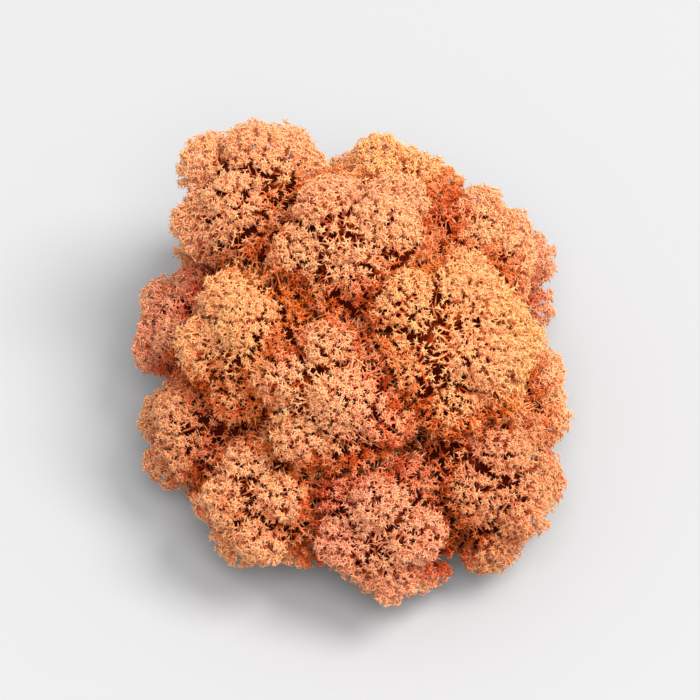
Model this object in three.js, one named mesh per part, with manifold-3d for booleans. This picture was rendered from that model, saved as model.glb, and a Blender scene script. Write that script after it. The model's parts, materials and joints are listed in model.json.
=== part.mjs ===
// A clump of reindeer lichen (Cladonia stellaris), dyed coral, as it is lifted out of the ground cover.
// Sixteen podetia, the upright branching stalks of the lichen, stand side by side on their cut feet.
// Each one ends in a rounded, cauliflower-like head of curds, covered with star-shaped tips.
// Millimetres, +Z up. The origin is the middle of the clump's outline, on the surface it rests on.
import * as THREE from 'three';
import { mergeVertices } from 'three/addons/utils/BufferGeometryUtils.js';
import Module from 'manifold-3d';

// Driving dimensions.
const partingGap = 0.36; // between neighbouring podetia, where their heads press against each other
const floorClearance = 0.6; // under the lowest tips, so that the clump stands on its feet alone
const stemRadius = 1.4;
const stemSides = 7;
const groundDepth = 20; // of the block that cuts the stems off flat
const clumpCentre = new THREE.Vector2(0.2, 0.58); // middle of the outline in the coordinates below
const randomSeed = 4107;

// The form of a head, with lengths as shares of its radius.
const headForm = {
  curdCount: 14,
  curdDistance: 0.61, // from the head's centre to a curd's
  curdRadius: 0.41,
  curdVariety: 0.1, // how much the distances differ
  curdBeat: 2.4, // how fast they change from curd to curd
  headBeat: 1.3, // and from head to head
  headTurn: 1.7, // turn of the curds from head to head, in radians
  ballRadius: 0.73, // the ball behind the curds
  neckLength: 1.5, // from the head's centre to the point of the taper that ends in the stem
};

// The stars of tips on a head, with lengths as shares of the reach of its longest tips.
const starForm = {
  core: 0.87, // the closed body that the tips stand on
  pit: 0.83, // the axil in the middle of a star
  shortTip: 0.95,
  longTip: 1.03,
  towardCorners: 0.42, // where a tip stands in its third of the face, as weights of the third's corners
  towardPit: 0.45,
  twist: 0.2, // how far a star's tips turn round its pit
  plainCone: 0.6, // cosine of the angle round the stem inside which a face bears a single tip
};

// Each podetium: centre of its head, the head's radius, and the cut foot that it stands on.
const podetia = [
  { name: 'crown', head: [1.5, 6.5, 31], radius: 14, foot: [0.5, 3] },
  { name: 'upper_back_left', head: [-13, 18.5, 28], radius: 13.5, foot: [-6, 7.5] },
  { name: 'upper_back', head: [6.5, 21.5, 22.5], radius: 12, foot: [3.5, 10.5] },
  { name: 'upper_right_back', head: [17, 12, 23.5], radius: 12, foot: [8.5, 5.5] },
  { name: 'upper_right', head: [14, -6.5, 28], radius: 15, foot: [6, -2] },
  { name: 'upper_front', head: [-0.5, -13, 24.5], radius: 13.5, foot: [-0.5, -7.5] },
  { name: 'upper_left', head: [-11.5, -2.5, 22.5], radius: 13.5, foot: [-6.5, -1] },
  { name: 'lower_left_back', head: [-21, 8.5, 12], radius: 11, foot: [-12.5, 5] },
  { name: 'lower_left_front', head: [-20, -8.5, 11], radius: 11, foot: [-13, -5] },
  { name: 'lower_front_left', head: [-11.5, -21.5, 12.5], radius: 11.5, foot: [-7.5, -12.5] },
  { name: 'lower_front', head: [5, -26, 13.5], radius: 12.5, foot: [2, -16] },
  { name: 'lower_right_front', head: [17.5, -19, 13], radius: 13.5, foot: [10, -11.5] },
  { name: 'lower_right', head: [21, -3.5, 12], radius: 11.5, foot: [14, -2] },
  { name: 'lower_right_back', head: [18.5, 17, 12], radius: 12, foot: [11, 11.5] },
  { name: 'lower_back', head: [2.5, 28, 11.5], radius: 11.5, foot: [1.5, 18] },
  { name: 'lower_left_back_end', head: [-14, 24.5, 12], radius: 12, foot: [-8, 15] },
];

const wasm = await Module();
wasm.setup();

// A repeatable random number from 0 to 1.
function makeRandom(seed) {
  let state = seed;
  return () => {
    state = (state + 0x6d2b79f5) | 0;
    let mixed = Math.imul(state ^ (state >>> 15), 1 | state);
    mixed = (mixed + Math.imul(mixed ^ (mixed >>> 7), 61 | mixed)) ^ mixed;
    return ((mixed ^ (mixed >>> 14)) >>> 0) / 4294967296;
  };
}

// Directions spread evenly over a sphere, turned about Z.
function evenDirections(count, turn) {
  const goldenAngle = Math.PI * (3 - Math.sqrt(5));
  return Array.from({ length: count }, (_, index) => {
    const height = 1 - (2 * index + 1) / count;
    const ring = Math.sqrt(1 - height * height);
    const angle = goldenAngle * index + turn;
    return new THREE.Vector3(ring * Math.cos(angle), ring * Math.sin(angle), height);
  });
}

// Two heads part at the plane where their balls would cut each other.
function headPlane(one, other) {
  const across = other.centre.clone().sub(one.centre);
  const distance = across.length();
  const toPlane = (distance + (one.radius ** 2 - other.radius ** 2) / distance) / 2;
  return { normal: across.divideScalar(distance), distance: toPlane - partingGap / 2 };
}

// A head also keeps clear of another podetium's stem, at a plane across the shortest way to it.
function stemPlane(one, other) {
  const nearest = new THREE.Vector3();
  new THREE.Line3(other.footPoint, other.centre).closestPointToPoint(one.centre, true, nearest);
  const across = nearest.sub(one.centre);
  const distance = across.length();
  return { normal: across.divideScalar(distance), distance: distance - stemRadius - partingGap };
}

// How far a head can reach along a direction before it meets what lies beside or below it.
function roomAlong(podetium, direction) {
  let room = Infinity;
  for (const plane of podetium.planes) {
    const facing = plane.normal.dot(direction);
    if (facing > 1e-6) room = Math.min(room, plane.distance / facing);
  }
  return room;
}

// The taper below a head: a cone round its ball that points down along the stem.
function neckReach(podetium, direction) {
  const ball = podetium.radius * headForm.ballRadius;
  const coneNormal = Math.acos(headForm.ballRadius / headForm.neckLength);
  const fromStem = direction.angleTo(podetium.downward);
  return fromStem < coneNormal ? ball / Math.cos(coneNormal - fromStem) : ball;
}

// How far the tips of a head would reach along a direction if nothing were in their way.
function tipReach(podetium, direction) {
  let reach = neckReach(podetium, direction);
  for (const curd of podetium.curds) {
    const along = direction.dot(curd.direction) * curd.distance;
    const inside = curd.radius ** 2 - curd.distance ** 2 + along ** 2;
    if (inside > 0) reach = Math.max(reach, along + Math.sqrt(inside));
  }
  return reach;
}

function solidOf(geometry) {
  const bare = geometry.index ? geometry.toNonIndexed() : geometry.clone();
  bare.deleteAttribute('normal');
  bare.deleteAttribute('uv');
  const merged = mergeVertices(bare, 1e-4);
  const vertProperties = new Float32Array(merged.attributes.position.array);
  const triVerts = new Uint32Array(merged.index.array);
  return new wasm.Manifold(new wasm.Mesh({ numProp: 3, vertProperties, triVerts }));
}

function geometryOf(solid) {
  const mesh = solid.getMesh();
  const geometry = new THREE.BufferGeometry();
  geometry.setAttribute('position', new THREE.BufferAttribute(new Float32Array(mesh.vertProperties), 3));
  geometry.setIndex(new THREE.BufferAttribute(new Uint32Array(mesh.triVerts), 1));
  return geometry;
}

function between(directions, weights) {
  const sum = new THREE.Vector3();
  directions.forEach((direction, index) => sum.addScaledVector(direction, weights[index]));
  return sum.normalize();
}

// Every corner of a head lies along a direction of its own from the centre, so no two faces can cross.
// An open face rises into a star of three pointed tips round a pit. A face low down or at the rim of a
// contact rises into one tip, and a face that is pressed against a neighbour stays plain.
function headSolid(podetium, random) {
  const ball = new THREE.IcosahedronGeometry(1, 2);
  ball.rotateZ(random() * Math.PI);
  ball.deleteAttribute('normal');
  ball.deleteAttribute('uv');
  const base = mergeVertices(ball, 1e-4);
  const directions = [];
  const corners = [];
  const addCorner = (direction, share) => {
    const room = roomAlong(podetium, direction);
    const reach = tipReach(podetium, direction) * share;
    return corners.push(direction.clone().multiplyScalar(Math.min(reach, room)).add(podetium.centre)) - 1;
  };
  for (let i = 0; i < base.attributes.position.count; i += 1) {
    const direction = new THREE.Vector3().fromBufferAttribute(base.attributes.position, i).normalize();
    directions.push(direction);
    addCorner(direction, starForm.core);
  }
  const faces = [];
  const index = base.index.array;
  for (let i = 0; i < index.length; i += 3) {
    const face = [index[i], index[i + 1], index[i + 2]];
    const middle = between(face.map((corner) => directions[corner]), [1, 1, 1]);
    const fill = roomAlong(podetium, middle) / tipReach(podetium, middle);
    if (fill < starForm.core) {
      faces.push(face);
    } else if (fill < 1 || middle.dot(podetium.downward) > starForm.plainCone) {
      const tip = addCorner(middle, starForm.longTip);
      face.forEach((from, side) => faces.push([from, face[(side + 1) % 3], tip]));
    } else {
      const pit = addCorner(middle, starForm.pit);
      const twist = random() < 0.5 ? starForm.twist : -starForm.twist;
      const weights = [starForm.towardCorners + twist, starForm.towardCorners - twist, starForm.towardPit];
      face.forEach((from, side) => {
        const to = face[(side + 1) % 3];
        const lean = between([directions[from], directions[to], middle], weights);
        const tip = addCorner(lean, THREE.MathUtils.lerp(starForm.shortTip, starForm.longTip, random()));
        faces.push([from, to, tip], [to, pit, tip], [pit, from, tip]);
      });
    }
  }
  const geometry = new THREE.BufferGeometry().setFromPoints(corners);
  geometry.setIndex(faces.flat());
  return solidOf(geometry);
}

// The straight stem below a head, cut flat where it stands on the ground.
function stemSolid(podetium) {
  const { centre, footPoint, downward } = podetium;
  const top = centre.clone();
  const bottom = footPoint.clone().addScaledVector(downward, 3 * stemRadius);
  const geometry = new THREE.CylinderGeometry(stemRadius, stemRadius, top.distanceTo(bottom), stemSides);
  geometry.applyQuaternion(new THREE.Quaternion().setFromUnitVectors(new THREE.Vector3(0, -1, 0), downward));
  geometry.translate(...top.lerp(bottom, 0.5).toArray());
  const ground = new THREE.BoxGeometry(groundDepth, groundDepth, groundDepth);
  ground.translate(footPoint.x, footPoint.y, -groundDepth / 2);
  return solidOf(geometry).subtract(solidOf(ground));
}

function preparePodetia() {
  for (const [index, podetium] of podetia.entries()) {
    podetium.centre = new THREE.Vector3(...podetium.head);
    podetium.footPoint = new THREE.Vector3(...podetium.foot, 0);
    podetium.downward = podetium.footPoint.clone().sub(podetium.centre).normalize();
    const directions = evenDirections(headForm.curdCount, index * headForm.headTurn);
    podetium.curds = directions.map((direction, curd) => {
      const beat = Math.sin(curd * headForm.curdBeat + index * headForm.headBeat);
      const distance = podetium.radius * headForm.curdDistance * (1 + headForm.curdVariety * beat);
      return { direction, distance, radius: podetium.radius * headForm.curdRadius };
    });
  }
  for (const one of podetia) {
    const others = podetia.filter((other) => other !== one);
    const floor = { normal: new THREE.Vector3(0, 0, -1), distance: one.centre.z - floorClearance };
    one.planes = [floor, ...others.flatMap((other) => [headPlane(one, other), stemPlane(one, other)])];
  }
}

preparePodetia();
const random = makeRandom(randomSeed);
const coral = new THREE.MeshStandardMaterial({ color: 0xe08a5c, roughness: 0.95, metalness: 0 });
const clump = new THREE.Group();
const standing = new THREE.Group();
standing.position.set(-clumpCentre.x, -clumpCentre.y, 0);
clump.add(standing);
for (const podetium of podetia) {
  const solid = headSolid(podetium, random).add(stemSolid(podetium));
  const mesh = new THREE.Mesh(geometryOf(solid), coral);
  mesh.name = `podetium_${podetium.name}`;
  standing.add(mesh);
}

export default clump;
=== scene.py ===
import json
import math
import bmesh
import bpy
import numpy as np
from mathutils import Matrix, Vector
from types import SimpleNamespace

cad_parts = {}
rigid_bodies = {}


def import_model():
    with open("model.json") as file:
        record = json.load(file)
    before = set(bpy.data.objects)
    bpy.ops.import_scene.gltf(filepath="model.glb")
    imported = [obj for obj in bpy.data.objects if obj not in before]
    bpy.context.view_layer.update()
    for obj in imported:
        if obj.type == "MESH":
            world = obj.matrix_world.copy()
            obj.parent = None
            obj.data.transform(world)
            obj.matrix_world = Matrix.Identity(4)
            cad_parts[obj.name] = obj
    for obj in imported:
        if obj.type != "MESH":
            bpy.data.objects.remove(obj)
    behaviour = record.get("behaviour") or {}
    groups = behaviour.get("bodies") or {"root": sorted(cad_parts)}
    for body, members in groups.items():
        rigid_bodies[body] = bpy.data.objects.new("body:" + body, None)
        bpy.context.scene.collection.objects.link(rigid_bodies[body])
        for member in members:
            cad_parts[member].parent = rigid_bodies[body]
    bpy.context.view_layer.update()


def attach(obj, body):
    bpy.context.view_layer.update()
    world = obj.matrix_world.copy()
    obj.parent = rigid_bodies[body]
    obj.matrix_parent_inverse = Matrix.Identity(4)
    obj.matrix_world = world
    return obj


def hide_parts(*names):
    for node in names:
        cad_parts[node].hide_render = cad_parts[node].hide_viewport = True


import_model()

mm = 0.001
goldenAngle = math.pi * (3 - math.sqrt(5))

# The clump of reindeer lichen, in millimetres: podetia that stand side by side on their cut feet.
clump = {
    "centre": (0.2, 0.58, 0.0),  # middle of the outline in the coordinates below
    "partingGap": 0.36,  # between neighbouring heads
    "floorClearance": 0.6,  # under the heads
    "seed": 4107,
}

# Each podetium: centre of its head, the head's radius, the cut foot that it stands on, and its material.
podetia = [
    ("crown", (1.5, 6.5, 31), 14, (0.5, 3), "coral"),
    ("upper_back_left", (-13, 18.5, 28), 13.5, (-6, 7.5), "coral"),
    ("upper_back", (6.5, 21.5, 22.5), 12, (3.5, 10.5), "orange_coral"),
    ("upper_right_back", (17, 12, 23.5), 12, (8.5, 5.5), "coral"),
    ("upper_right", (14, -6.5, 28), 15, (6, -2), "orange_coral"),
    ("upper_front", (-0.5, -13, 24.5), 13.5, (-0.5, -7.5), "coral"),
    ("upper_left", (-11.5, -2.5, 22.5), 13.5, (-6.5, -1), "orange_coral"),
    ("lower_left_back", (-21, 8.5, 12), 11, (-12.5, 5), "pink_coral"),
    ("lower_left_front", (-20, -8.5, 11), 11, (-13, -5), "brown_coral"),
    ("lower_front_left", (-11.5, -21.5, 12.5), 11.5, (-7.5, -12.5), "coral"),
    ("lower_front", (5, -26, 13.5), 12.5, (2, -16), "pink_coral"),
    ("lower_right_front", (17.5, -19, 13), 13.5, (10, -11.5), "brown_coral"),
    ("lower_right", (21, -3.5, 12), 11.5, (14, -2), "coral"),
    ("lower_right_back", (18.5, 17, 12), 12, (11, 11.5), "pink_coral"),
    ("lower_back", (2.5, 28, 11.5), 11.5, (1.5, 18), "brown_coral"),
    ("lower_left_back_end", (-14, 24.5, 12), 12, (-8, 15), "coral"),
]

# The form of a head, with lengths as shares of its radius.
headForm = {
    "curdCount": 14,
    "curdDistance": 0.61,  # from the head's centre to a curd's
    "curdRadius": 0.41,
    "curdVariety": 0.1,  # how much the distances differ
    "curdBeat": 2.4,  # how fast they change from curd to curd
    "headBeat": 1.3,  # and from head to head
    "headTurn": 1.7,  # turn of the curds from head to head, in radians
    "ballRadius": 0.73,  # the ball behind the curds
    "neckLength": 1.5,  # from the head's centre to the point of the taper that ends in the stem
    "neckLimit": 1.4,  # in radians from the taper's side, past which its reach grows no more
    "neckCosine": 0.62,  # inside this cone round the stem a head bears no tips
}


def unit(vectors):
    return vectors / np.maximum(np.linalg.norm(vectors, axis=-1, keepdims=True), 1e-9)


# Directions spread evenly over a ball, along a spiral from its top to its bottom.
def evenDirections(count, turn=0.0):
    index = np.arange(count)
    height = 1 - (2 * index + 1) / count
    ring = np.sqrt(1 - height**2)
    angle = goldenAngle * index + turn
    return np.stack([ring * np.cos(angle), ring * np.sin(angle), height], axis=1)


# The heads, each with its curds and with the planes that part it from its neighbours.
def headsOf(table):
    heads = []
    for index, (name, centre, radius, foot, slot) in enumerate(table):
        head = SimpleNamespace()
        head.name, head.slot, head.radius = name, slot, radius
        head.centre = np.array(centre, float)
        head.foot = np.array((*foot, 0.0))
        head.downward = unit(head.foot - head.centre)
        turn = index * headForm["headTurn"]
        beat = np.arange(headForm["curdCount"]) * headForm["curdBeat"] + index * headForm["headBeat"]
        distance = radius * headForm["curdDistance"] * (1 + headForm["curdVariety"] * np.sin(beat))
        head.curds = evenDirections(headForm["curdCount"], turn) * distance[:, None]
        head.curdRadius = radius * headForm["curdRadius"]
        heads.append(head)
    for one in heads:
        one.others = [other for other in heads if other is not one]
        one.normals, one.distances = partingPlanes(one)
    return heads


# A head ends where its ball would cut a neighbour's, and above the floor. Its branchlets grow round other
# stems, so those don't end it here.
def partingPlanes(one):
    normals, distances = [np.array((0.0, 0.0, -1.0))], [one.centre[2] - clump["floorClearance"]]
    for other in one.others:
        across = other.centre - one.centre
        distance = np.linalg.norm(across)
        normals.append(across / distance)
        middle = (distance + (one.radius**2 - other.radius**2) / distance) / 2
        distances.append(middle - clump["partingGap"] / 2)
    return np.array(normals), np.array(distances)


# How far a head can reach along each direction before it meets what lies beside or below it.
def roomAlong(head, directions):
    facing = directions @ head.normals.T
    room = np.where(facing > 1e-6, head.distances / np.maximum(facing, 1e-6), np.inf)
    return room.min(axis=1)


# How far the tips of a head would reach along each direction if nothing were in their way.
def tipReach(head, directions):
    ball = head.radius * headForm["ballRadius"]
    coneNormal = math.acos(headForm["ballRadius"] / headForm["neckLength"])
    fromStem = np.arccos(np.clip(directions @ head.downward, -1, 1))
    neck = ball / np.cos(np.minimum(np.abs(coneNormal - fromStem), headForm["neckLimit"]))
    reach = np.where(fromStem < coneNormal, neck, ball)
    for curd in head.curds:
        along = directions @ curd
        inside = head.curdRadius**2 - curd @ curd + along**2
        reach = np.maximum(reach, np.where(inside > 0, along + np.sqrt(np.maximum(inside, 0)), 0))
    return reach


# The smooth fields over space that make one part of the clump differ from the next.
fieldForm = {
    "names": ("patches", "swell", "mottle", "drift", "filling", "broadMottle"),  # each has a seed of its own
    "waves": 7,
    "stretch": (0.7, 1.4),  # of the waves of one field
    "gain": 2,
}


# Such a field at each place, about from -1 to 1, with its hills one period apart.
def rolling(places, period, name):
    rng = np.random.default_rng(clump["seed"] + fieldForm["names"].index(name))
    count = fieldForm["waves"]
    ways = unit(rng.normal(size=(count, 3)))
    waves = ways * rng.uniform(*fieldForm["stretch"], (count, 1)) * 2 * math.pi / period
    starts = rng.uniform(0, 2 * math.pi, count)
    return np.clip(np.sin(places @ waves.T + starts).mean(axis=1) * fieldForm["gain"], -1, 1)


# Where the tips of the branchlets lie, in millimetres.
foliage = {
    "tipSpacing": 0.98,
    "wallSpacing": 1.4,  # of the tips in the pits and where two heads meet
    "gridShare": 0.87,  # the area that a tip takes, as a share of its spacing squared
    "tipJitter": 0.4,  # as a share of their spacing
    "tipSink": 0.35,  # the stars' middles below the surface of the head
    "tipDepth": 1.4,  # tips that lie deeper than this in the foliage are left out
    "tipFloor": 1.6,  # no tip grows lower than this
    "tipFacing": 0.75,  # how much a tip faces away from its curd's centre rather than from the head's
    "overlap": 0.25,  # how far the tips of neighbours reach in among each other
    "patchPeriod": 9.0,  # from one dense patch to the next
    "patchThinning": 0.42,  # the share of tips that the most open patches lack
    "topFilling": 0.95,  # how much less of that on top, where the light makes it dense
    "lowTipShare": 0.5,  # how many of the tips are left on the underside
    "lowCosine": 0.1,  # which is what faces the foot by more than this
    "lowSlope": -0.45,  # or looks down by more than this
    "pitFill": (0.79, 0.93),  # how far foliage fills the pits, where it is open and dense, in radii
    "fillPeriod": 17.0,
    "fillShares": (0.4, 0.4, 0.4),  # how dense it is everywhere, and more in dense patches and on top
    "pitLeast": 1.001,  # it is a pit where the foliage reaches further than the tips by this factor
    "wallBall": 0.9,  # on which the tips of the walls are spread, in radii of the head
    "wallDepth": 0.68,  # how deep between two heads such tips still grow, in radii of the head
    "wallSink": 0.9,  # how far below the wall they may lie
    "seamRise": 1.3,  # the tips at the rim of a seam, raised to close the valley between two heads
    "seamWidth": 2.5,
}


# How far the foliage of a head reaches: as far as its tips, and so far out of the pits between its curds as
# fills them, most of all on top.
def foliageReach(head, directions):
    patches = rolling(head.centre + directions * head.radius, foliage["fillPeriod"], "filling")
    everywhere, inPatches, onTop = foliage["fillShares"]
    dense = np.clip(everywhere + inPatches * patches + onTop * directions[:, 2], 0, 1)
    low, high = foliage["pitFill"]
    return np.maximum(tipReach(head, directions), head.radius * (low + (high - low) * dense))


# Thins the tips out in patches, though hardly on top, and all over the underside.
def thinned(head, tips, rng):
    patch = 0.5 - 0.5 * rolling(tips + head.centre, foliage["patchPeriod"], "patches")
    outward = unit(tips)
    exposed = 1 - foliage["topFilling"] * np.clip(outward[:, 2], 0, 1)
    keep = 1 - foliage["patchThinning"] * patch * exposed
    low = (outward @ head.downward > foliage["lowCosine"]) | (outward[:, 2] < foliage["lowSlope"])
    keep = np.where(low, keep * foliage["lowTipShare"], keep)
    return rng.random(len(tips)) < keep


# How many points cover a ball at a given spacing.
def pointsOver(radius, spacing):
    return 4 * math.pi * radius**2 / (foliage["gridShare"] * spacing**2)


# Directions spread evenly over a ball, with a random turn and some jitter.
def looseDirections(radius, spacing, rng):
    count = int(pointsOver(radius, spacing))
    spin, _ = np.linalg.qr(rng.normal(size=(3, 3)))
    jitter = foliage["tipJitter"] * spacing / radius / 2
    return unit(evenDirections(count) @ spin + rng.normal(scale=jitter, size=(count, 3)))


# The tips on one curd, over the part of its ball that nothing covers, and their outward normals.
def curdTips(head, which, rng):
    curd = head.curds[which]
    reach = head.curdRadius - foliage["tipSink"]
    outward = looseDirections(head.curdRadius, foliage["tipSpacing"], rng)
    tips = curd + outward * reach
    free = np.linalg.norm(tips, axis=1) > head.radius * headForm["ballRadius"]
    for other in np.delete(head.curds, which, axis=0):
        free &= np.linalg.norm(tips - other, axis=1) > reach
    free &= (tips @ head.normals.T < head.distances + foliage["overlap"]).all(axis=1)
    free &= tips[:, 2] + head.centre[2] > foliage["tipFloor"]
    free &= unit(tips) @ head.downward < headForm["neckCosine"]
    free &= np.linalg.norm(tips, axis=1) > foliageReach(head, unit(tips)) - foliage["tipDepth"]
    free &= thinned(head, tips, rng)
    share = foliage["tipFacing"]
    return tips[free], unit(share * outward[free] + (1 - share) * unit(tips[free]))


# The tips in the pits between curds and on the sides that a head turns to its neighbours.
def wallTips(head, rng):
    directions = looseDirections(head.radius * foliage["wallBall"], foliage["wallSpacing"], rng)
    reach, room = foliageReach(head, directions), roomAlong(head, directions)
    atWall = (room < reach) & (room > head.radius * foliage["wallDepth"])
    inPit = (room > reach) & (reach > tipReach(head, directions) * foliage["pitLeast"])
    atRim = np.clip(1 - np.abs(room - reach) / foliage["seamWidth"], 0, 1)
    sink = rng.uniform(-foliage["overlap"], foliage["wallSink"], len(directions))
    sink -= foliage["seamRise"] * atRim
    tips = directions * (np.minimum(reach, room) - sink)[:, None]
    free = (atWall | inPit) & (directions @ head.downward < headForm["neckCosine"])
    free &= tips[:, 2] + head.centre[2] > foliage["tipFloor"]
    return tips[free], directions[free]


# How the branches run from a foot to the tips, in millimetres. Radii run from a branch's start to its end.
branching = {
    "footHeight": 1.4,  # the upright piece of stem over its cut foot
    "stemStep": 2.2,  # from point to point of a stem
    "leastSteps": 4,  # of a stem
    "hubShare": 0.42,  # where the stem forks into limbs, in radii below the head's centre
    "limbCount": 4,
    "limbShare": 0.45,  # where a limb forks on its way from there to the roots of its curds
    "rootShare": 0.7,  # where a curd's branches start on the way to its centre
    "rootRoom": 0.8,  # and at most this share of the way to a neighbour
    "fewestTips": 4,  # a curd with fewer tips isn't grown
    "innerFork": 0.4,  # where the forks lie between a curd's root and its tips
    "outerFork": 0.74,
    "children": 4.2,  # branchlets that one fork puts out
    "stoutSteps": 3,  # from a limb's or a curd branch's start to its end
    "slimSteps": 2,  # and from a finer one's
    "stemRadii": (1.25, 1.0),
    "limbRadii": (0.95, 0.6),
    "curdRadii": (0.6, 0.42),
    "innerRadii": (0.42, 0.3),
    "outerRadii": (0.3, 0.2),
    "tipRadii": (0.2, 0.15),
    "tipSizes": (0.85, 1.15),  # of the stars
    "stoutVariety": (0.82, 1.12),  # of a stem's or a limb's thickness from point to point
    "wiggle": 0.06,  # of the points along a branch, as a share of its length
    "wiggleReach": 12.0,  # a longer branch wiggles no more than one of this length
    "swellPeriod": 5.0,  # gentle bumps that make the curds uneven
    "swellHeight": 0.45,
    "tuftHeight": 0.4,  # how much some tufts of tips stand out from others
    "tuftRise": (-1, 0.4),  # from the lowest tuft to the highest, as shares of that
    "tuftTightness": 0.9,  # the tips of a tuft, drawn in to its middle
    "tuftSag": 0.35,  # how much lower the tips at the edge of a tuft are
    "tuftSplay": 0.45,
}


# The branches of one podetium, grown as a net of points and edges that carry their own thickness.
class Growth:
    def __init__(self, rng, floor):
        self.rng, self.floor = rng, floor
        self.points, self.radii, self.facing, self.tipSize = [], [], [], []
        self.edges, self.stout = [], []

    def addPoint(self, place, radius, facing=(0, 0, 1), tipSize=0.0):
        self.points.append(place)
        self.radii.append(radius)
        self.facing.append(facing)
        self.tipSize.append(tipSize)
        return len(self.points) - 1

    def addEdge(self, first, second, stout):
        self.edges.append((first, second))
        self.stout.append(stout)

    # A curved branch from a point of the net. It leaves along one direction and arrives along another.
    def addBranch(self, start, end, leaving, arriving, radii, steps, stout=False, tipSize=0.0):
        begin = self.points[start]
        length = np.linalg.norm(end - begin)
        wiggle = branching["wiggle"] * min(length, branching["wiggleReach"])
        last = start
        for step in range(1, steps + 1):
            t = step / steps
            place = (
                (2 * t**3 - 3 * t**2 + 1) * begin
                + (t**3 - 2 * t**2 + t) * leaving * length
                + (3 * t**2 - 2 * t**3) * end
                + (t**3 - t**2) * arriving * length
            )
            if step < steps:
                place = place + self.rng.normal(scale=wiggle, size=3)
            radius = radii[0] + (radii[1] - radii[0]) * t
            if stout:
                radius *= self.rng.uniform(*branching["stoutVariety"])
            now = self.addPoint(place, radius, arriving, tipSize if step == steps else 0.0)
            self.addEdge(last, now, stout)
            last = now
        return last


# Sorts directions by the nearest of a few parents and gives the groups that aren't empty.
def forked(directions, count, rng):
    spin, _ = np.linalg.qr(rng.normal(size=(3, 3)))
    nearest = np.argmax(directions @ (evenDirections(max(count, 1)) @ spin).T, axis=1)
    return [np.flatnonzero(nearest == parent) for parent in np.unique(nearest)]


# Draws the tips of each tuft together, sets some tufts higher than others, and splays them.
def gatherTufts(groups, tips, facing, rng):
    middles = np.array([tips[group].mean(axis=0) for group in groups])
    for group, middle in zip(groups, middles):
        aside = tips[group] - middle
        sag = branching["tuftSag"] * (np.linalg.norm(aside, axis=1) / foliage["tipSpacing"]) ** 2
        rise = rng.uniform(*branching["tuftRise"]) * branching["tuftHeight"] - sag
        tips[group] = middle + aside * branching["tuftTightness"] + facing[group] * rise[:, None]
        facing[group] = unit(facing[group] + branching["tuftSplay"] * aside / foliage["tipSpacing"])
    return middles


# The branchlets of one curd: from its root over two forks to its tips.
def growCurd(growth, head, root, rootAt, leaving, tips, facing):
    rng = growth.rng
    covered = pointsOver(head.curdRadius, foliage["tipSpacing"])
    outerGroups = forked(unit(tips - rootAt), round(covered / branching["children"]), rng)
    swell = branching["swellHeight"] * rolling(tips + head.centre, branching["swellPeriod"], "swell")
    tips = tips + facing * (swell - branching["swellHeight"] / 2)[:, None]
    middles = gatherTufts(outerGroups, tips, facing, rng)
    outerAt = rootAt + branching["outerFork"] * (middles - rootAt)
    innerGroups = forked(unit(outerAt - rootAt), round(covered / branching["children"] ** 2), rng)
    innerShare = branching["innerFork"] / branching["outerFork"]
    steps = branching["slimSteps"]
    for innerGroup in innerGroups:
        innerAt = rootAt + innerShare * (outerAt[innerGroup].mean(axis=0) - rootAt)
        toInner = unit(innerAt - rootAt)
        way = unit(leaving + toInner)
        inner = growth.addBranch(root, innerAt, way, toInner, branching["innerRadii"], steps)
        for outerIndex in innerGroup:
            forkAt = outerAt[outerIndex]
            toOuter = unit(forkAt - innerAt)
            outer = growth.addBranch(inner, forkAt, toInner, toOuter, branching["outerRadii"], steps)
            for tip in outerGroups[outerIndex]:
                toTip = unit(tips[tip] - forkAt)
                size = rng.uniform(*branching["tipSizes"])
                growth.addBranch(outer, tips[tip], toTip, toTip, branching["tipRadii"], 1, tipSize=size)


# The short dead side branches on the bare stem. Each forks into twigs, and these into fine ends.
sprigForm = {
    "count": 6,
    "length": 3.4,
    "lengths": (0.5, 1.0),  # from the shortest to the longest, as shares of that
    "rise": (-0.1, 0.7),  # how steeply they leave the stem
    "lift": 0.4,  # how much they bend up
    "headroom": 1.7,  # a sprig grows only where so many of its lengths stay above the lowest tips
    "bareSteps": 2,  # of the stem, under its fork, that bear none
    "radii": (0.36, 0.252, 0.162, 0.108),  # at the root, the fork, the twigs' forks and the ends
    "twigs": (3, 0.45, 0.55),  # how many, how long as a share of the sprig's length, and how far spread
    "ends": (2, 0.25, 0.6),
    "tipSize": 0.7,
}


def growSprig(growth, start, heading, length):
    rng = growth.rng
    end = growth.points[start] + heading * length
    rootRadius, forkRadius, twigRadius, endRadius = sprigForm["radii"]
    tipSize, steps = sprigForm["tipSize"], branching["slimSteps"]
    lifted = unit(heading + (0, 0, sprigForm["lift"]))
    middle = growth.addBranch(start, end, heading, lifted, (rootRadius, forkRadius), steps)
    twigs, twigLength, twigSpread = sprigForm["twigs"]
    ends, endLength, endSpread = sprigForm["ends"]
    for _ in range(twigs):
        way = unit(heading + rng.normal(scale=twigSpread, size=3))
        at = end + way * length * twigLength
        twig = growth.addBranch(middle, at, heading, way, (forkRadius, twigRadius), steps)
        for _ in range(ends):
            fine = unit(way + rng.normal(scale=endSpread, size=3))
            at = growth.points[twig] + fine * length * endLength
            if at[2] > growth.floor + foliage["tipFloor"]:
                growth.addBranch(twig, at, way, fine, (twigRadius, endRadius), 1, tipSize=tipSize)


def growSprigs(growth, head, first, steps):
    rng = growth.rng
    for _ in range(sprigForm["count"]):
        start = first + rng.integers(0, max(1, steps - sprigForm["bareSteps"]))
        sideways = np.cross(head.downward, rng.normal(size=3))
        heading = unit(unit(sideways) + (0, 0, rng.uniform(*sprigForm["rise"])))
        length = sprigForm["length"] * rng.uniform(*sprigForm["lengths"])
        end = growth.points[start] + heading * length * sprigForm["headroom"]
        if end[2] > growth.floor + foliage["tipFloor"]:
            growSprig(growth, start, heading, length)


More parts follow.
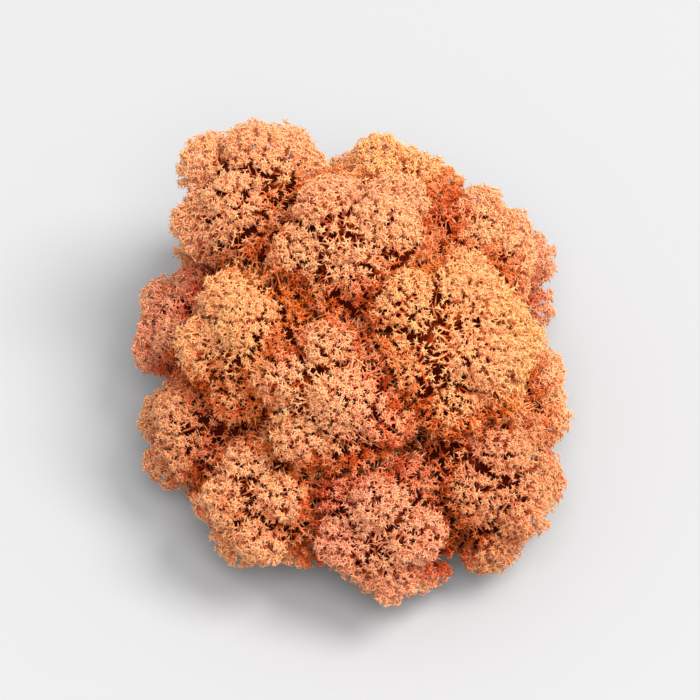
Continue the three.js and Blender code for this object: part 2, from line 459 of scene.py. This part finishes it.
# The curds of a head: where each one's branches start, its tips, and the way these face.
def curdsOf(head, rng):
    wall, wallFacing = wallTips(head, rng)
    nearest = np.argmax(unit(wall) @ unit(head.curds).T, axis=1)
    roots = unit(head.curds)
    wanted = np.linalg.norm(head.curds, axis=1) * branching["rootShare"]
    roots = roots * np.minimum(wanted, roomAlong(head, roots) * branching["rootRoom"])[:, None]
    curds = []
    for which in range(headForm["curdCount"]):
        tips, facing = curdTips(head, which, rng)
        tips = np.concatenate([tips, wall[nearest == which]])
        facing = np.concatenate([facing, wallFacing[nearest == which]])
        if len(tips) >= branching["fewestTips"]:
            curds.append((roots[which], tips, facing))
    return curds


# The whole net of one podetium, around the middle of its head.
def growPodetium(head, rng):
    growth = Growth(rng, -head.centre[2])
    foot, upward = head.foot - head.centre, -head.downward
    hub = head.downward * head.radius * branching["hubShare"]
    radii = branching["stemRadii"]
    base = growth.addPoint(foot, radii[0])
    upright = growth.addPoint(foot + (0, 0, branching["footHeight"]), radii[0])
    growth.addEdge(base, upright, True)
    steps = max(branching["leastSteps"], round(np.linalg.norm(hub - foot) / branching["stemStep"]))
    stem = growth.addBranch(upright, hub, upward, upward, radii, steps, stout=True)
    growSprigs(growth, head, upright + 1, steps)
    steps = branching["stoutSteps"]
    curds = curdsOf(head, rng)
    for group in forked(unit(np.array([root for root, _, _ in curds])), branching["limbCount"], rng):
        middle = np.mean([curds[index][0] for index in group], axis=0)
        forkAt = hub + branching["limbShare"] * (middle - hub)
        toFork = unit(forkAt - hub)
        limb = growth.addBranch(stem, forkAt, upward, toFork, branching["limbRadii"], steps, stout=True)
        for index in group:
            rootAt, tips, facing = curds[index]
            toRoot = unit(rootAt - forkAt)
            root = growth.addBranch(limb, rootAt, toFork, toRoot, branching["curdRadii"], steps, stout=True)
            growCurd(growth, head, root, rootAt, toRoot, tips, facing)
    return growth


# How light a point is, from 0 in the heart of a head to about 1 at the tips, and its drift of hue. Deep
# points are darker partly through the lichen's deeper dye and partly as painted shade.
shading = {
    "outerBall": 1.03,  # light grows out to this ball, in radii of the head, and to the foliage's reach
    "branchLight": (0.2, 1),  # from the deepest branch to the tips
    "stemLight": 0.34,  # a stem and the branches round it, at most
    "heartLight": (-0.2, 0.2),  # from one point of the tangled heart to the next
    "rayPaler": 0.12,  # a ray's point against its root
    "twigPale": (0.25, 0.9),  # a twig's root and its point, against the heart
    "crowdPaintedShade": 0.38,  # painted shade where neighbouring heads meet and keep the light out
    "crowdReach": 1.8,  # in millimetres, as the periods are
    "tipMottle": 0.04,  # from one branchlet to the next
    "mottle": 0.13,
    "mottlePeriod": 4.0,
    "broadMottle": 0.07,
    "broadPeriod": 24.0,
    "driftPeriod": 16.0,
    "topPaintedLight": 0.26,  # painted light: the top of the clump paler than its foot, as light from above makes it
    "upMiddle": 0.7,  # the share of its height at which it is neither
    "lightest": 1.15,
}


# How close the neighbours crowd in on each point: 0 out in the light, 1 where two heads meet, and more in
# a corner. It sets the painted shade between heads, and how far a heart reaches into a corner.
def crowding(head, places, most=1):
    crowd = np.zeros(len(places))
    for other in head.others:
        gap = np.linalg.norm(places + head.centre - other.centre, axis=1) - other.radius
        crowd += np.exp(-np.maximum(gap, 0) / shading["crowdReach"])
    return np.minimum(crowd, most)


# How light each point is for where it lies in the foliage: darker deeper in, partly through deeper dye and
# partly as painted shade.
def lightAt(head, places, rng):
    away, outward = np.linalg.norm(places, axis=1), unit(places)
    light = 0.5 * away / foliageReach(head, outward) + 0.5 * away / (shading["outerBall"] * head.radius)
    atStem = outward @ head.downward > headForm["neckCosine"]
    light = np.where(atStem, np.minimum(light, shading["stemLight"]), light)
    # painted shade: darker where neighbouring heads crowd in on a point
    light = np.clip(light, *shading["branchLight"]) - shading["crowdPaintedShade"] * crowding(head, places)
    return light + rng.normal(scale=shading["tipMottle"], size=len(light))


# The tangled heart of a head, from which its outer branchlets stand out.
heartForm = {
    "share": 0.68,  # of the reach of the tips
    "ballShare": 0.86,  # and at least this share of the ball behind the curds
    "corner": 0.25,  # how much further it reaches in a corner between several heads
    "room": 0.98,  # and at most this share of the way to a neighbour
    "hidden": 0.95,  # held back by a neighbour to less than this share, it is out of sight
    "detail": 4,  # of the icosphere that it is made from
    "tangle": 0.13,  # how much it goes in and out
    "calm": 0.5,  # and how much less in such a corner
    "twigs": 0.6,  # the share of its points with a twig
    "twigAside": 0.35,  # how far a twig turns aside
    "twigFloor": 3.2,  # in millimetres, below which it has no twigs
}


# Its points, its faces, and which of the points are hidden between two heads.
def heartOf(head, rng):
    build = bmesh.new()
    bmesh.ops.create_icosphere(build, subdivisions=heartForm["detail"], radius=1)
    directions = unit(np.array([corner.co[:] for corner in build.verts]))
    faces = [[corner.index for corner in face.verts] for face in build.faces]
    build.free()
    least = head.radius * headForm["ballRadius"] * heartForm["ballShare"]
    tips = tipReach(head, directions)
    wanted = np.maximum(tips * heartForm["share"], least)
    room = roomAlong(head, directions) * heartForm["room"]
    hidden = room < wanted * heartForm["hidden"]
    corner = np.clip(crowding(head, directions * tips[:, None], most=2) - 1, 0, 1)
    wanted = np.maximum(wanted, tips * (heartForm["share"] + heartForm["corner"] * corner))
    tangle = heartForm["tangle"] * (1 - heartForm["calm"] * corner)
    reach = np.minimum(wanted, room) * (1 - np.abs(rng.normal(size=len(room))) * tangle)
    return directions * reach[:, None], faces, hidden


def setAttribute(mesh, name, kind, domain, values):
    attribute = mesh.attributes.new(name, kind, domain)
    key = "vector" if kind == "FLOAT_VECTOR" else "value"
    attribute.data.foreach_set(key, np.asarray(values).ravel())


def newObject(name, data):
    holder = bpy.data.objects.new(name, data)
    bpy.context.scene.collection.objects.link(holder)
    return holder


# The net and the heart as one mesh, with what each point needs to grow.
def netObject(head, growth, rng):
    heart, faces, hidden = heartOf(head, rng)
    netCount, heartCount = len(growth.points), len(heart)
    places = np.concatenate([np.array(growth.points), heart])
    places[:, 2] = np.maximum(places[:, 2], growth.floor)
    mesh = bpy.data.meshes.new("lichen_" + head.name)
    standing = (places + head.centre - np.array(clump["centre"])) * mm
    heartFaces = [[corner + netCount for corner in face] for face in faces]
    mesh.from_pydata(standing.tolist(), growth.edges, heartFaces)
    depth = lightAt(head, places, rng)
    depth[netCount:] = rng.uniform(*shading["heartLight"], heartCount)
    hasTwig = rng.random(heartCount) < heartForm["twigs"]
    hasTwig &= ~hidden & (heart[:, 2] > growth.floor + heartForm["twigFloor"])
    heartFacing = unit(unit(heart) + rng.normal(scale=heartForm["twigAside"], size=heart.shape))
    setAttribute(mesh, "thickness", "FLOAT", "POINT", [*np.array(growth.radii) * mm, *np.zeros(heartCount)])
    setAttribute(mesh, "tipSize", "FLOAT", "POINT", [*growth.tipSize, *hasTwig.astype(float)])
    setAttribute(mesh, "facing", "FLOAT_VECTOR", "POINT", [*growth.facing, *heartFacing])
    setAttribute(mesh, "depth", "FLOAT", "POINT", depth)
    setAttribute(mesh, "isHeart", "BOOLEAN", "POINT", np.arange(netCount + heartCount) >= netCount)
    stout = np.zeros(len(mesh.edges), bool)
    stout[: len(growth.stout)] = growth.stout
    setAttribute(mesh, "stout", "BOOLEAN", "EDGE", stout)
    return newObject("lichen_" + head.name, mesh)


# Adds a node, with its settings first and then its inputs, each one linked or given a value.
def addNode(tree, kind, inputs=None, **settings):
    node = tree.nodes.new(kind)
    for name, value in settings.items():
        setattr(node, name, value)
    for name, value in (inputs or {}).items():
        socket = next(socket for socket in node.inputs if socket.enabled and socket.name == name)
        if isinstance(value, bpy.types.NodeSocket):
            tree.links.new(value, socket)
        else:
            socket.default_value = value
    return node


# The first output of a new node.
def outputOf(tree, kind, inputs=None, **settings):
    node = addNode(tree, kind, inputs, **settings)
    return next(socket for socket in node.outputs if socket.enabled)


def maths(tree, operation, first, second=0.0):
    node = tree.nodes.new("ShaderNodeMath")
    node.operation = operation
    for socket, value in zip(node.inputs, (first, second)):
        if isinstance(value, bpy.types.NodeSocket):
            tree.links.new(value, socket)
        else:
            socket.default_value = value
    return node.outputs["Value"]


def readAttribute(tree, name, kind="FLOAT"):
    return outputOf(tree, "GeometryNodeInputNamedAttribute", {"Name": name}, data_type=kind)


def randomValue(tree, low, high, seed, kind="FLOAT"):
    return outputOf(tree, "FunctionNodeRandomValue", {"Min": low, "Max": high, "Seed": seed}, data_type=kind)


def joined(tree, parts):
    node = tree.nodes.new("GeometryNodeJoinGeometry")
    for part in parts:
        tree.links.new(part, node.inputs["Geometry"])
    return node.outputs["Geometry"]


# What the growth tree is given: how round the branches are, the stars of fine pointed rays that the
# branchlets end in, and the twigs on the heart of a head.
growthInputs = {
    "Stem sides": 8,
    "Branchlet sides": 3,
    "Rays": 5,
    "Ray length": 0.68 * mm,
    "Ray radius": 0.15 * mm,
    "Ray lean": 1.15,  # from upright, in radians
    "Lean spread": 0.42,
    "Lower rays": 3,  # of the whorl under the star
    "Lower length": 0.78 * mm,
    "Whorl gap": 0.8 * mm,
    "Twig rays": 3,
    "Twig length": 2.1 * mm,
    "Twig radius": 0.24 * mm,
    "Twig lean": 0.65,
    "Twig spread": 0.4,
    "Size variation": 0.25,
    "Seed": 7,
}

# What every whorl has, and how the kinds of stars and twigs differ.
whorlForm = {
    "raySides": 3,
    "turn": 0.4,  # how far a ray strays from its even place, in radians
    "raySizes": (0.7, 1.2),
    "extraRays": (-1, 0, 0, 1),  # of each kind of star
    "twigKinds": 3,
}

# The steps between the seeds of draws that have to differ.
seedStep = {"tipSize": 1.0, "lean": 3.0, "raySize": 5.0, "lowerWhorl": 7.0, "star": 11.0, "twig": 13.0}


# Tubes along the chosen edges of a net, as thick as each of its points says.
def tubesAlong(tree, mesh, selection, sides):
    curves = outputOf(tree, "GeometryNodeMeshToCurve", {"Mesh": mesh, "Selection": selection})
    inputs = {"Resolution": sides, "Radius": 1.0}
    ring = outputOf(tree, "GeometryNodeCurvePrimitiveCircle", inputs, mode="RADIUS")
    thickness = readAttribute(tree, "thickness")
    inputs = {"Curve": curves, "Profile Curve": ring, "Scale": thickness, "Fill Caps": True}
    return outputOf(tree, "GeometryNodeCurveToMesh", inputs)


# One pointed ray, along which the attribute "paler" runs from one of its two values to the other.
def rayOf(tree, length, radius, paler):
    inputs = {"Vertices": whorlForm["raySides"], "Radius Top": 0.0, "Radius Bottom": radius, "Depth": length}
    ray = outputOf(tree, "GeometryNodeMeshCone", inputs, fill_type="NGON")
    place = outputOf(tree, "GeometryNodeInputPosition")
    height = addNode(tree, "ShaderNodeSeparateXYZ", {"Vector": place}).outputs["Z"]
    inputs = {"Value": height, "From Max": length, "To Min": paler[0], "To Max": paler[1]}
    value = outputOf(tree, "ShaderNodeMapRange", inputs)
    inputs = {"Geometry": ray, "Name": "paler", "Value": value}
    return outputOf(tree, "GeometryNodeStoreNamedAttribute", inputs, data_type="FLOAT", domain="POINT")


# A whorl of pointed rays that lean out from one point.
def whorlOf(tree, rays, length, radius, lean, spread, paler, seed, drop=0.0):
    ray = rayOf(tree, length, radius, paler)
    below = outputOf(tree, "ShaderNodeCombineXYZ", {"Z": maths(tree, "MULTIPLY", drop, -1.0)})
    hub = outputOf(tree, "GeometryNodePoints", {"Count": rays, "Position": below})
    index = outputOf(tree, "GeometryNodeInputIndex")
    turn = maths(tree, "MULTIPLY", maths(tree, "DIVIDE", index, rays), 2 * math.pi)
    turn = maths(tree, "ADD", turn, randomValue(tree, -whorlForm["turn"], whorlForm["turn"], seed))
    least, most = maths(tree, "SUBTRACT", lean, spread), maths(tree, "ADD", lean, spread)
    tilt = randomValue(tree, least, most, maths(tree, "ADD", seed, seedStep["lean"]))
    angles = outputOf(tree, "ShaderNodeCombineXYZ", {"Y": tilt, "Z": turn})
    size = randomValue(tree, *whorlForm["raySizes"], maths(tree, "ADD", seed, seedStep["raySize"]))
    inputs = {"Points": hub, "Instance": ray, "Rotation": angles, "Scale": size}
    return outputOf(tree, "GeometryNodeInstanceOnPoints", inputs)


# Makes one instance of a few, so that they are picked together.
def bundled(tree, geometry):
    whole = outputOf(tree, "GeometryNodeRealizeInstances", {"Geometry": geometry})
    return outputOf(tree, "GeometryNodeGeometryToInstance", {"Geometry": whole})


# One star: an open whorl at the tip and a smaller one below it.
def starOf(tree, given, variant, extraRays):
    seed = maths(tree, "ADD", given["Seed"], variant * seedStep["star"])
    paler = (0.0, shading["rayPaler"])
    radius, lean, spread = given["Ray radius"], given["Ray lean"], given["Lean spread"]
    rays = maths(tree, "ADD", given["Rays"], float(extraRays))
    upper = whorlOf(tree, rays, given["Ray length"], radius, lean, spread, paler, seed)
    seed = maths(tree, "ADD", seed, seedStep["lowerWhorl"])
    rays, drop = given["Lower rays"], given["Whorl gap"]
    lower = whorlOf(tree, rays, given["Lower length"], radius, lean, spread, paler, seed, drop)
    return bundled(tree, joined(tree, (upper, lower)))


# One twig of a heart: a few stout rays that stand up side by side.
def twigOf(tree, given, variant):
    seed = maths(tree, "ADD", given["Seed"], variant * seedStep["twig"])
    length, radius, lean, spread = (given["Twig " + name] for name in ("length", "radius", "lean", "spread"))
    rays = whorlOf(tree, given["Twig rays"], length, radius, lean, spread, shading["twigPale"], seed)
    return bundled(tree, rays)


# Sets one of a few things on each point that has a tip size, turned to face outwards.
def placedOn(tree, mesh, things, given):
    isTip = maths(tree, "GREATER_THAN", readAttribute(tree, "tipSize"), 0.0)
    tips = outputOf(tree, "GeometryNodeMeshToPoints", {"Mesh": mesh, "Selection": isTip}, mode="VERTICES")
    facing = readAttribute(tree, "facing", "FLOAT_VECTOR")
    upright = outputOf(tree, "FunctionNodeAlignRotationToVector", {"Vector": facing}, axis="Z")
    spin = outputOf(tree, "ShaderNodeCombineXYZ", {"Z": randomValue(tree, 0.0, 2 * math.pi, given["Seed"])})
    spin = outputOf(tree, "FunctionNodeEulerToRotation", {"Euler": spin})
    inputs = {"Rotation": upright, "Rotate By": spin}
    turned = outputOf(tree, "FunctionNodeRotateRotation", inputs, rotation_space="LOCAL")
    least = maths(tree, "SUBTRACT", 1.0, given["Size variation"])
    most = maths(tree, "ADD", 1.0, given["Size variation"])
    varied = randomValue(tree, least, most, maths(tree, "ADD", given["Seed"], seedStep["tipSize"]))
    inputs = {
        "Points": tips,
        "Instance": joined(tree, things),
        "Pick Instance": True,
        "Instance Index": randomValue(tree, 0, len(things) - 1, given["Seed"], "INT"),
        "Rotation": turned,
        "Scale": maths(tree, "MULTIPLY", readAttribute(tree, "tipSize"), varied),
    }
    return outputOf(tree, "GeometryNodeInstanceOnPoints", inputs)


# The tree that turns a net into a podetium: tubes along its edges, a star on every tip, twigs on the heart.
def makeGrowthTree():
    tree = bpy.data.node_groups.new("podetiumGrowth", "GeometryNodeTree")
    tree.interface.new_socket("Geometry", in_out="INPUT", socket_type="NodeSocketGeometry")
    for name, value in growthInputs.items():
        kind = "NodeSocketInt" if isinstance(value, int) else "NodeSocketFloat"
        tree.interface.new_socket(name, in_out="INPUT", socket_type=kind).default_value = value
    tree.interface.new_socket("Surface", in_out="INPUT", socket_type="NodeSocketMaterial")
    tree.interface.new_socket("Geometry", in_out="OUTPUT", socket_type="NodeSocketGeometry")
    given = tree.nodes.new("NodeGroupInput").outputs
    inputs = {"Geometry": given["Geometry"], "Selection": readAttribute(tree, "isHeart", "BOOLEAN")}
    parts = addNode(tree, "GeometryNodeSeparateGeometry", inputs, domain="POINT").outputs
    net, heart = parts["Inverted"], parts["Selection"]
    stout = readAttribute(tree, "stout", "BOOLEAN")
    slim = outputOf(tree, "FunctionNodeBooleanMath", {"Boolean": stout}, operation="NOT")
    stems = tubesAlong(tree, net, stout, given["Stem sides"])
    branchlets = tubesAlong(tree, net, slim, given["Branchlet sides"])
    stars = [starOf(tree, given, kind, extraRays) for kind, extraRays in enumerate(whorlForm["extraRays"])]
    twigs = [twigOf(tree, given, kind) for kind in range(whorlForm["twigKinds"])]
    tips, heartTwigs = placedOn(tree, net, stars, given), placedOn(tree, heart, twigs, given)
    grownParts = joined(tree, (tips, heartTwigs, branchlets, stems, heart))
    whole = outputOf(tree, "GeometryNodeRealizeInstances", {"Geometry": grownParts})
    smooth = outputOf(tree, "GeometryNodeSetShadeSmooth", {"Geometry": whole})
    inputs = {"Geometry": smooth, "Material": given["Surface"]}
    addNode(tree, "NodeGroupOutput", {"Geometry": outputOf(tree, "GeometryNodeSetMaterial", inputs)})
    return tree


# Grows a net into a plain mesh.
def grown(piece, tree, material, seed):
    modifier = piece.modifiers.new("growth", "NODES")
    modifier.node_group = tree
    settings = {**growthInputs, "Seed": seed, "Surface": material}
    for item in tree.interface.items_tree:
        if item.in_out == "INPUT" and item.name in settings:
            modifier[item.identifier] = settings[item.name]
    seen = bpy.context.evaluated_depsgraph_get()
    evaluated = piece.evaluated_get(seen)
    mesh = bpy.data.meshes.new_from_object(evaluated, preserve_all_data_layers=True, depsgraph=seen)
    piece.modifiers.remove(modifier)
    net = piece.data
    piece.data = mesh
    bpy.data.meshes.remove(net)
    return piece


# One property of all items at once, as an array.
def numbersOf(items, key, width=1):
    found = np.empty(len(items) * width, np.float32)
    items.foreach_get(key, found)
    return found.reshape(-1, width) if width > 1 else found


# The map on which every point lies by its light and its drift.
shadeMap = {
    "margin": 0.04,
    "scatter": (0.003, 0.02),  # keeps the points of a face apart along each
}


# Each point's colour depends on two numbers alone: how light it is and its drift of hue. They are kept as
# attributes for the material, and as the map.
def shadePiece(mesh, rng):
    places = numbersOf(mesh.vertices, "co", 3) / mm
    depth = numbersOf(mesh.attributes["depth"].data, "value")
    paler = numbersOf(mesh.attributes["paler"].data, "value")
    mottle = shading["mottle"] * rolling(places, shading["mottlePeriod"], "mottle")
    mottle += shading["broadMottle"] * rolling(places, shading["broadPeriod"], "broadMottle")
    # painted light: paler towards the top of the clump, darker towards its foot
    higher = shading["topPaintedLight"] * (places[:, 2] / places[:, 2].max() - shading["upMiddle"])
    light = np.clip((depth + paler + higher + mottle) / shading["lightest"], 0, 1)
    drift = 0.5 + 0.5 * rolling(places, shading["driftPeriod"], "drift")
    setAttribute(mesh, "light", "FLOAT", "POINT", light)
    setAttribute(mesh, "drift", "FLOAT", "POINT", drift)
    spots = shadeMap["margin"] + (1 - 2 * shadeMap["margin"]) * np.stack([light, drift], axis=1)
    spots += rng.uniform(-1, 1, spots.shape) * shadeMap["scatter"]
    corners = np.empty(len(mesh.loops), np.int32)
    mesh.loops.foreach_get("vertex_index", corners)
    layer = mesh.uv_layers.new(name="OFBake")
    layer.uv.foreach_set("vector", spots[corners].astype(np.float32).ravel())


# sRGB numbers as people pick them, turned into the linear ones that shaders use.
def dye(red, green, blue):
    shares = [value / 255 for value in (red, green, blue)]
    return (*[share / 12.92 if share <= 0.04045 else ((share + 0.055) / 1.055) ** 2.4 for share in shares], 1)


# The dyes of the heart of a head, its branches and its tips. The near-black heart is partly the deeper dye
# and partly painted shade for the depths of a head.
lichenDyes = {
    "coral": {"heart": (66, 8, 0), "branch": (216, 84, 30), "tip": (248, 161, 112)},
    "orange_coral": {"heart": (68, 9, 0), "branch": (219, 89, 28), "tip": (250, 165, 107)},
    "pink_coral": {"heart": (62, 7, 3), "branch": (204, 74, 33), "tip": (241, 150, 110)},
    "brown_coral": {"heart": (58, 8, 1), "branch": (194, 74, 28), "tip": (233, 146, 100)},
}

# The felted skin of the branchlets.
felt = {
    "Grain size": 0.14 * mm,
    "Grain": 0.08,  # how much lighter and darker the grain makes it
    "Hue drift": 0.007,
    "grainDetail": 2.0,
    "grainGain": 4.0,  # the noise strays from its middle by about a quarter
    "dyeLights": (0.12, 0.42, 0.76),  # at which the dye is the heart's, the branches' and the tips'
    "roughness": (0.8, 1.0),
    "specular": 0.04,
    "sheen": 0.02,
    "sheenRoughness": 0.6,
    "sheenTint": (255, 205, 170),
    "bump": 0.25,
    "bumpDepth": 0.03 * mm,
    "softness": 0.5,  # the share of light that passes through the fine branchlets
    "softReach": 0.8 * mm,
    "softShares": (1.0, 0.4, 0.2),  # of that reach, for red, green and blue
}


# The dyed felt of the lichen: dark and saturated in the axils, partly as painted shade, paler and drier
# towards the tips.
def makeDyeAndShadeGroup():
    group = bpy.data.node_groups.new("dyedFeltAndShade", "ShaderNodeTree")
    for name in ("Heart", "Branch", "Tip"):
        group.interface.new_socket(name, in_out="INPUT", socket_type="NodeSocketColor")
    for name in ("Grain size", "Grain", "Hue drift"):
        socket = group.interface.new_socket(name, in_out="INPUT", socket_type="NodeSocketFloat")
        socket.default_value = felt[name]
    for name, kind in (("Colour", "Color"), ("Roughness", "Float"), ("Height", "Float")):
        group.interface.new_socket(name, in_out="OUTPUT", socket_type="NodeSocket" + kind)
    given = group.nodes.new("NodeGroupInput").outputs
    place = addNode(group, "ShaderNodeTexCoord").outputs["Object"]
    light = addNode(group, "ShaderNodeAttribute", attribute_name="light").outputs["Fac"]
    drift = addNode(group, "ShaderNodeAttribute", attribute_name="drift").outputs["Fac"]
    scale = maths(group, "DIVIDE", 1.0, given["Grain size"])
    inputs = {"Vector": place, "Scale": scale, "Detail": felt["grainDetail"]}
    grain = outputOf(group, "ShaderNodeTexNoise", inputs)
    asHeart, asBranch, asTip = felt["dyeLights"]
    dyed = given["Heart"]
    for name, low, high in (("Branch", asHeart, asBranch), ("Tip", asBranch, asTip)):
        share = outputOf(group, "ShaderNodeMapRange", {"Value": light, "From Min": low, "From Max": high})
        inputs = {"Factor": share, "A": dyed, "B": given[name]}
        dyed = outputOf(group, "ShaderNodeMix", inputs, data_type="RGBA")
    hue = maths(group, "MULTIPLY", maths(group, "SUBTRACT", drift, 0.5), given["Hue drift"])
    spread = maths(group, "MULTIPLY", given["Grain"], felt["grainGain"])
    value = maths(group, "MULTIPLY", maths(group, "SUBTRACT", grain, 0.5), spread)
    inputs = {"Hue": maths(group, "ADD", hue, 0.5), "Value": maths(group, "ADD", value, 1.0), "Color": dyed}
    grained = outputOf(group, "ShaderNodeHueSaturation", inputs)
    smoothest, roughest = felt["roughness"]
    inputs = {"Value": grain, "To Min": smoothest, "To Max": roughest}
    rough = outputOf(group, "ShaderNodeMapRange", inputs)
    addNode(group, "NodeGroupOutput", {"Colour": grained, "Roughness": rough, "Height": grain})
    return group


def lichenMaterial(slot, group):
    material = bpy.data.materials.new("lichen_" + slot)
    material.use_nodes = True
    tree = material.node_tree
    shader = tree.nodes["Principled BSDF"]
    constants = {
        "Specular IOR Level": felt["specular"],
        "Sheen Weight": felt["sheen"],
        "Sheen Roughness": felt["sheenRoughness"],
        "Sheen Tint": dye(*felt["sheenTint"]),
        "Subsurface Weight": felt["softness"],
        "Subsurface Radius": felt["softShares"],
        "Subsurface Scale": felt["softReach"],
    }
    for name, value in constants.items():
        shader.inputs[name].default_value = value
    dyed = addNode(tree, "ShaderNodeGroup", node_tree=group)
    for name, colour in lichenDyes[slot].items():
        dyed.inputs[name.capitalize()].default_value = dye(*colour)
    inputs = {"Height": dyed.outputs["Height"], "Strength": felt["bump"], "Distance": felt["bumpDepth"]}
    bump = addNode(tree, "ShaderNodeBump", inputs)
    tree.links.new(dyed.outputs["Colour"], shader.inputs["Base Color"])
    tree.links.new(dyed.outputs["Roughness"], shader.inputs["Roughness"])
    tree.links.new(bump.outputs["Normal"], shader.inputs["Normal"])
    return material


def makeLichen():
    tree = makeGrowthTree()
    group = makeDyeAndShadeGroup()
    materials = {slot: lichenMaterial(slot, group) for slot in lichenDyes}
    total = 0
    for index, head in enumerate(headsOf(podetia)):
        rng = np.random.default_rng(clump["seed"] + index)
        growth = growPodetium(head, rng)
        piece = grown(netObject(head, growth, rng), tree, materials[head.slot], index)
        shadePiece(piece.data, rng)
        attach(piece, "root")
        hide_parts("podetium_" + head.name)
        piece.data.calc_loop_triangles()
        faces = len(piece.data.loop_triangles)
        total += faces
        tips = sum(size > 0 for size in growth.tipSize)
        print(f"lichen: {head.name} has {tips} tips and {faces} triangles")
    print(f"lichen: {total} triangles in all")


# The place where the clump is shown, in metres and degrees.
studio = {
    "azimuth": 0,
    "elevation": 53,
    "distance": 1.3,
    "viewWidth": 0.1,
    "sensorWidth": 36,  # in millimetres, as Blender has it
    "nearest": 0.05,
    "furthest": 50,
    "target": (0.0, 0.0, 0.018),
    "lightTarget": (0, 0, 0.02),
    "floorSize": 6.0,
    "floorColour": (154, 155, 157),
    "floorRoughness": 0.9,
    "sky": 0.9,
}

# Each light: its azimuth and elevation, its distance, its size, its watts and its colour.
lights = {
    "keyLight": (85, 60, 3.0, 1.6, 120, (255, 251, 247)),
    "frontLight": (5, 60, 3.0, 1.8, 75, (255, 255, 255)),
}


def aim(thing, target):
    way = Vector(target) - thing.location
    thing.rotation_euler = way.to_track_quat("-Z", "Y").to_euler()


# A place round the origin. Azimuth 0 is in front, and 90 is at the right.
def around(azimuth, elevation, distance):
    turn, rise = math.radians(azimuth), math.radians(elevation)
    flat = math.cos(rise)
    return Vector((math.sin(turn) * flat, -math.cos(turn) * flat, math.sin(rise))) * distance


def softLight(name, azimuth, elevation, distance, size, watts, colour):
    light = bpy.data.lights.new(name, "AREA")
    light.shape = "DISK"
    light.size, light.energy, light.color = size, watts, dye(*colour)[:3]
    holder = newObject(name, light)
    holder.location = around(azimuth, elevation, distance)
    aim(holder, studio["lightTarget"])
    holder.visible_camera = False


def makeCamera():
    camera = bpy.data.cameras.new("camera")
    camera.sensor_width = studio["sensorWidth"]
    camera.lens = camera.sensor_width * studio["distance"] / studio["viewWidth"]
    camera.clip_start, camera.clip_end = studio["nearest"], studio["furthest"]
    holder = newObject("camera", camera)
    target = Vector(studio["target"])
    holder.location = target + around(studio["azimuth"], studio["elevation"], studio["distance"])
    aim(holder, target)
    bpy.context.scene.camera = holder


def makeFloor():
    half = studio["floorSize"] / 2
    corners = [(-half, -half, 0), (half, -half, 0), (half, half, 0), (-half, half, 0)]
    mesh = bpy.data.meshes.new("floor")
    mesh.from_pydata(corners, [], [(0, 1, 2, 3)])
    floor = newObject("floor", mesh)
    paper = bpy.data.materials.new("floorPaper")
    paper.use_nodes = True
    shader = paper.node_tree.nodes["Principled BSDF"]
    shader.inputs["Base Color"].default_value = dye(*studio["floorColour"])
    shader.inputs["Roughness"].default_value = studio["floorRoughness"]
    mesh.materials.append(paper)


def makeStudio():
    bpy.context.scene.view_settings.view_transform = "Standard"
    makeCamera()
    makeFloor()
    world = bpy.data.worlds.new("studio")
    bpy.context.scene.world = world
    world.use_nodes = True
    sky = world.node_tree.nodes["Background"]
    sky.inputs["Color"].default_value = (1, 1, 1, 1)
    sky.inputs["Strength"].default_value = studio["sky"]
    for name, settings in lights.items():
        softLight(name, *settings)
    print("studio: camera, floor, sky and", len(lights), "lights")


makeStudio()
makeLichen()
